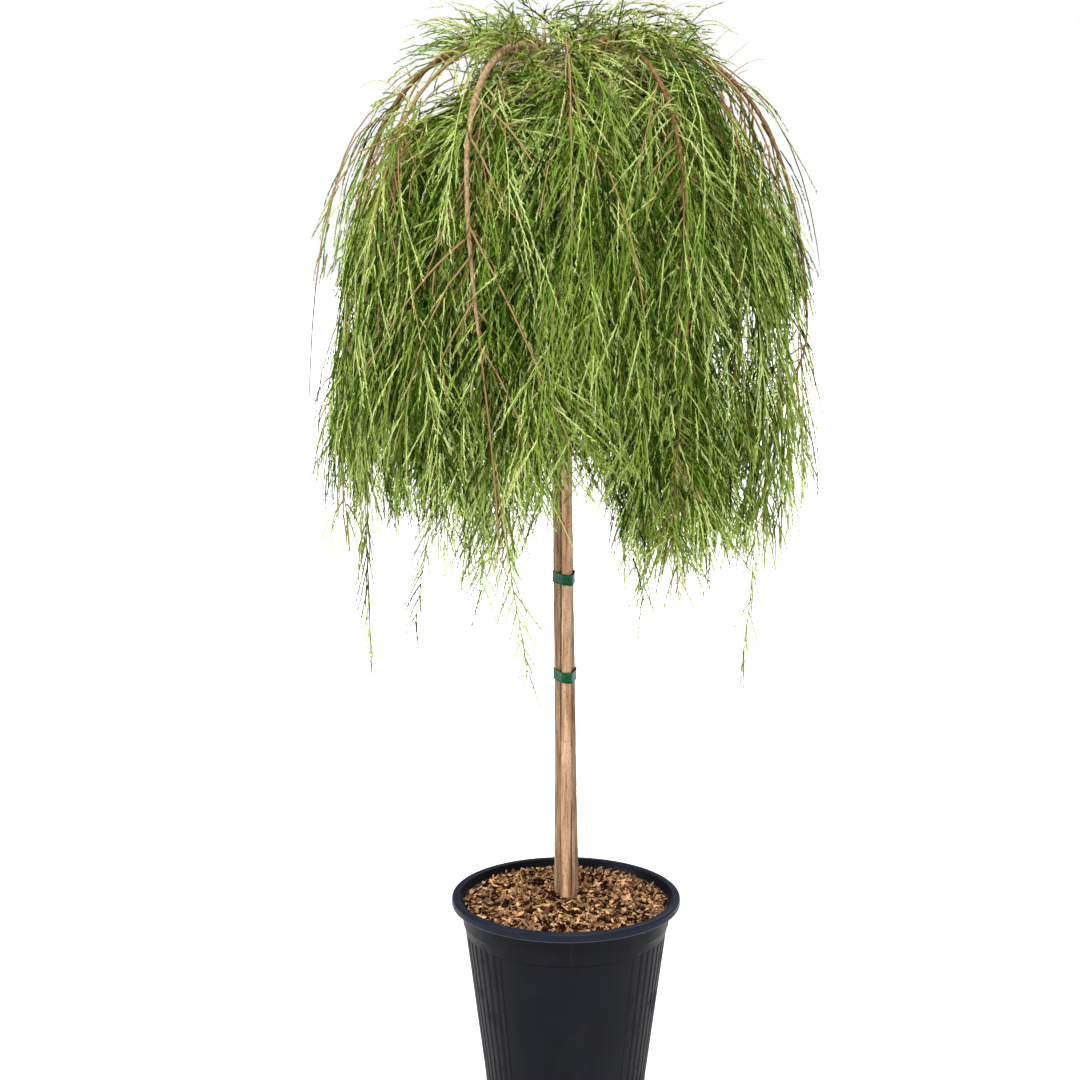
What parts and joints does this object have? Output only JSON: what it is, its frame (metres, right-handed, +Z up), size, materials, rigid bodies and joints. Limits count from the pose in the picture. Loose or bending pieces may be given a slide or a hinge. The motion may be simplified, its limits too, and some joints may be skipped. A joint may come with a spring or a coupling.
{
  "type": "potted weeping she-oak tree",
  "caption": "Weeping she-oak grafted on a straight bark-covered stem with a companion stem and tape ties, standing in a round nursery pot of bark mulch.",
  "frame": {"origin": "centre of the pot's flat underside, at ground level", "axes": "+Z up along the stem, +X to the plant's right as pictured, -Y towards the front"},
  "size_m": [0.7532, 0.7433, 1.5633],
  "materials": {
    "pot_plastic": "satin blue-black moulded nursery plastic",
    "bark_mulch": "dry chipped bark over potting mix",
    "bark": "tan bark with fine upright fissures",
    "twig_bark": "smooth pinkish-brown young bark",
    "tie_tape": "dark green stretch tie tape",
    "foliage": "fresh green needle-like branchlets"
  },
  "bodies": {
    "root": {"bark_mulch": "bark_mulch", "bough_aft_left": "twig_bark", "bough_aft_right": "twig_bark", "bough_back": "twig_bark", "bough_back_left_arch": "twig_bark", "bough_back_left_drop": "twig_bark", "bough_back_right_arch": "twig_bark", "bough_back_right_drop": "twig_bark", "bough_fore_left": "twig_bark", "bough_fore_right": "twig_bark", "bough_front": "twig_bark", "bough_front_left_arch": "twig_bark", "bough_front_left_drop": "twig_bark", "bough_front_right_arch": "twig_bark", "bough_front_right_drop": "twig_bark", "bough_left_arch": "twig_bark", "bough_left_drop": "twig_bark", "bough_right_arch": "twig_bark", "bough_right_drop": "twig_bark", "companion_stem": "bark", "foliage_curtain_back_left": "foliage", "foliage_curtain_back_right": "foliage", "foliage_curtain_front_left": "foliage", "foliage_curtain_front_right": "foliage", "foliage_curtain_left": "foliage", "foliage_curtain_right": "foliage", "foliage_shoulder_aft_left": "foliage", "foliage_shoulder_aft_right": "foliage", "foliage_shoulder_back": "foliage", "foliage_shoulder_fore_left": "foliage", "foliage_shoulder_fore_right": "foliage", "foliage_shoulder_front": "foliage", "foliage_tuft": "foliage", "pot": "pot_plastic", "tie_lower": "tie_tape", "tie_upper": "tie_tape", "trunk": "bark"}
  },
  "joints": []
}
